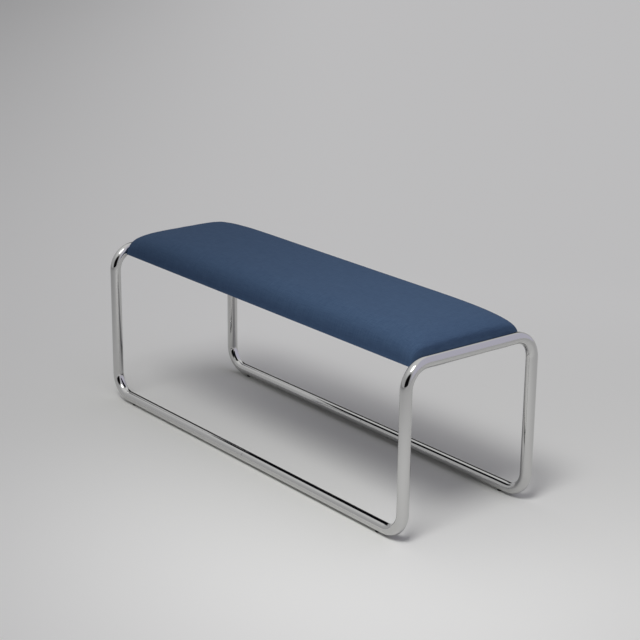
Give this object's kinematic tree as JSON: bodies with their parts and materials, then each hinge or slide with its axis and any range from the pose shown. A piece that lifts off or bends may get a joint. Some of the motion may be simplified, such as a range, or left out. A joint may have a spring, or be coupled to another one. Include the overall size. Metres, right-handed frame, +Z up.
{
  "type": "luggage bench",
  "caption": "Low hotel luggage bench: a loop of bent chromed steel tube with floor runners carries a crowned, fabric-covered seat pad between its crossbars.",
  "frame": {"origin": "on the floor, below the middle of the seat", "axes": "+X along the bench, +Y across it to the far long side, +Z up"},
  "size_m": [1.2, 0.41, 0.4715],
  "materials": {
    "chrome_tube": "polished chrome plate on bent steel tube",
    "seat_fabric": "woven blue upholstery fabric",
    "seat_foam": "open-cell upholstery foam",
    "plywood": "sanded birch plywood",
    "lining": "black non-woven lining",
    "glide_plastic": "moulded black plastic",
    "zinc_steel": "bright zinc-plated steel"
  },
  "bodies": {
    "root": {"right_frame_tube": "chrome_tube", "left_frame_tube": "chrome_tube", "near_spigot": "zinc_steel", "far_spigot": "zinc_steel", "right_near_set_screw": "zinc_steel", "right_far_set_screw": "zinc_steel", "left_near_set_screw": "zinc_steel", "left_far_set_screw": "zinc_steel", "right_near_glide": "glide_plastic", "right_far_glide": "glide_plastic", "left_near_glide": "glide_plastic", "left_far_glide": "glide_plastic", "right_near_lug": "chrome_tube", "right_far_lug": "chrome_tube", "left_near_lug": "chrome_tube", "left_far_lug": "chrome_tube", "right_near_washer": "zinc_steel", "right_far_washer": "zinc_steel", "left_near_washer": "zinc_steel", "left_far_washer": "zinc_steel", "right_near_seat_screw": "zinc_steel", "right_far_seat_screw": "zinc_steel", "left_near_seat_screw": "zinc_steel", "left_far_seat_screw": "zinc_steel", "right_near_tee_nut": "zinc_steel", "right_far_tee_nut": "zinc_steel", "left_near_tee_nut": "zinc_steel", "left_far_tee_nut": "zinc_steel", "seat_board": "plywood", "seat_foam": "seat_foam", "seat_cover": "seat_fabric", "seat_lining": "lining"}
  },
  "joints": []
}
